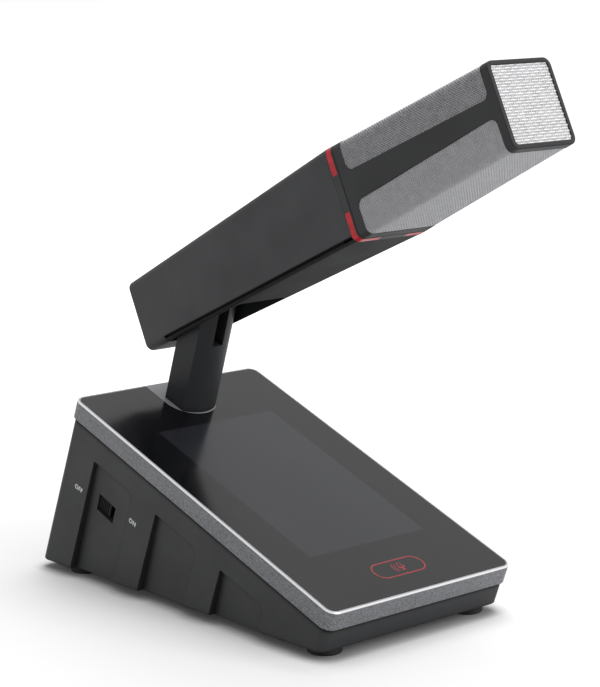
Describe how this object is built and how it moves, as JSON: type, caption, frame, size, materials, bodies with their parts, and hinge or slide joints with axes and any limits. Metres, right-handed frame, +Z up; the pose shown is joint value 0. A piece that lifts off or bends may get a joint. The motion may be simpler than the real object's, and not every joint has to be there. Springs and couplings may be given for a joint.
{
  "type": "conference delegate unit",
  "caption": "Wedge-shaped desk unit with a sloping glass touch panel, a short neck and a square microphone bar that tilts on a friction hinge.",
  "frame": {"origin": "on the table, under the middle of the whole unit", "axes": "+Z up, the low front end and the microphone point along -Y, +X is across the unit"},
  "size_m": [0.1092, 0.264, 0.2468],
  "materials": {
    "housing_plastic": "fine moulded grain",
    "switch_plastic": "satin",
    "shell_plastic": "satin paint",
    "cover_plastic": "fine moulded grain",
    "ring_plastic": "satin",
    "frame_plastic": "satin paint",
    "socket_plastic": "moulded",
    "anodised_trim": "bead blasted and anodised, bright cut edge",
    "panel_glass": "black printed glass, polished",
    "display_glass": "dark display face",
    "circuit_board": "solder resist",
    "neck_metal": "satin black paint",
    "bracket_steel": "black zinc",
    "bright_steel": "ground",
    "washer_polymer": "friction polymer",
    "plate_steel": "powder coated",
    "screw_steel": "black zinc",
    "side_wire": "fine woven wire",
    "front_wire": "bright woven wire",
    "capsule_metal": "bright",
    "foam": "open cell foam",
    "foot_rubber": "moulded",
    "red_diffuser": "translucent red"
  },
  "bodies": {
    "base": {"board_screws": "screw_steel", "bottom_plate": "plate_steel", "bottom_screws": "screw_steel", "display_module": "display_glass", "foot_front_left": "foot_rubber", "foot_front_right": "foot_rubber", "foot_rear_left": "foot_rubber", "foot_rear_right": "foot_rubber", "friction_washer_left": "washer_polymer", "friction_washer_right": "washer_polymer", "glass_panel": "panel_glass", "hinge_pin": "bright_steel", "lower_housing": "housing_plastic", "main_board": "circuit_board", "neck_post": "neck_metal", "neck_screws": "screw_steel", "network_socket_left": "socket_plastic", "network_socket_right": "socket_plastic", "power_switch_body": "switch_plastic", "socket_board": "circuit_board", "socket_screws": "screw_steel", "touch_key_board": "circuit_board", "trim_frame": "anodised_trim"},
    "power_slider": {"power_switch_slider": "switch_plastic"},
    "microphone": {"tilt_bracket": "bracket_steel", "bracket_screws": "screw_steel", "body_shell": "shell_plastic", "bottom_cover": "cover_plastic", "light_ring": "ring_plastic", "light_segment_upper_left": "red_diffuser", "light_segment_upper_right": "red_diffuser", "light_segment_lower_left": "red_diffuser", "light_segment_lower_right": "red_diffuser", "head_frame": "frame_plastic", "top_mesh": "side_wire", "bottom_mesh": "side_wire", "front_mesh": "front_wire", "microphone_board": "circuit_board", "capsule_holder": "cover_plastic", "capsule": "capsule_metal", "foam_core": "foam"}
  },
  "joints": [
    {"name": "microphone_tilt", "type": "hinge", "parent": "base", "child": "microphone", "pos_m": [0, 0.06576, 0.13475], "axis": [-1, 0, 0], "range_deg": [-46, 3]},
    {"name": "power_switch", "type": "slide", "parent": "base", "child": "power_slider", "axis": [-0.0399, -0.9374, -0.3461], "range_m": [0, 0.0038]}
  ]
}
